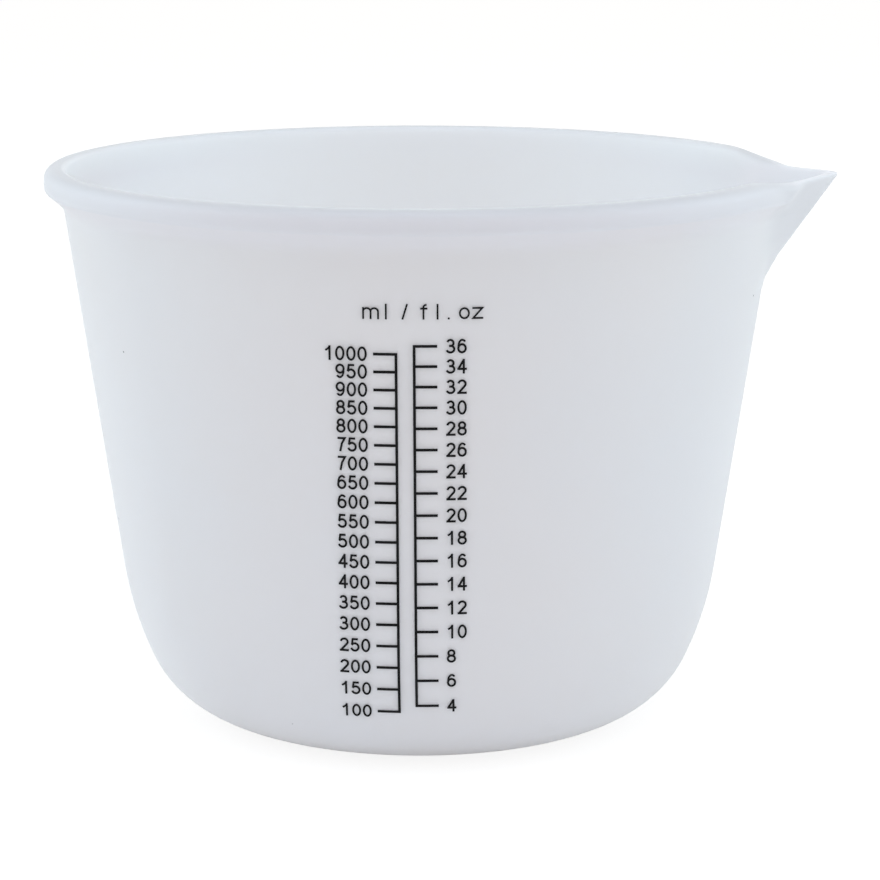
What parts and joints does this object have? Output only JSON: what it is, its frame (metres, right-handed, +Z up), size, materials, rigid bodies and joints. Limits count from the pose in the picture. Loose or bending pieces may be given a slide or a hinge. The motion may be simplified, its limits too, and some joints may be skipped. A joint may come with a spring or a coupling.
{
  "type": "mixing cup",
  "caption": "Soft milky silicone mixing cup with a rounded base, flaring wall, beaded rim, pouring spout and printed volume scales, for measuring, mixing and pouring resin.",
  "frame": {"origin": "middle of the base's flat underside, on the cup's axis", "axes": "+Z up along the cup's axis, +X from the axis to the pouring spout, and the printed scale faces -Y"},
  "size_m": [0.1631, 0.1532, 0.1142],
  "materials": {
    "silicone": "satin, milky",
    "ink": "flat printed ink"
  },
  "bodies": {
    "root": {"cup_body": "silicone", "ml_graduations": "ink", "fl_oz_graduations": "ink", "ml_heading": "ink", "heading_slash": "ink", "fl_oz_heading": "ink", "ml_number_1000": "ink", "ml_number_950": "ink", "ml_number_900": "ink", "ml_number_850": "ink", "ml_number_800": "ink", "ml_number_750": "ink", "ml_number_700": "ink", "ml_number_650": "ink", "ml_number_600": "ink", "ml_number_550": "ink", "ml_number_500": "ink", "ml_number_450": "ink", "ml_number_400": "ink", "ml_number_350": "ink", "ml_number_300": "ink", "ml_number_250": "ink", "ml_number_200": "ink", "ml_number_150": "ink", "ml_number_100": "ink", "fl_oz_number_36": "ink", "fl_oz_number_34": "ink", "fl_oz_number_32": "ink", "fl_oz_number_30": "ink", "fl_oz_number_28": "ink", "fl_oz_number_26": "ink", "fl_oz_number_24": "ink", "fl_oz_number_22": "ink", "fl_oz_number_20": "ink", "fl_oz_number_18": "ink", "fl_oz_number_16": "ink", "fl_oz_number_14": "ink", "fl_oz_number_12": "ink", "fl_oz_number_10": "ink", "fl_oz_number_8": "ink", "fl_oz_number_6": "ink", "fl_oz_number_4": "ink"}
  },
  "joints": []
}
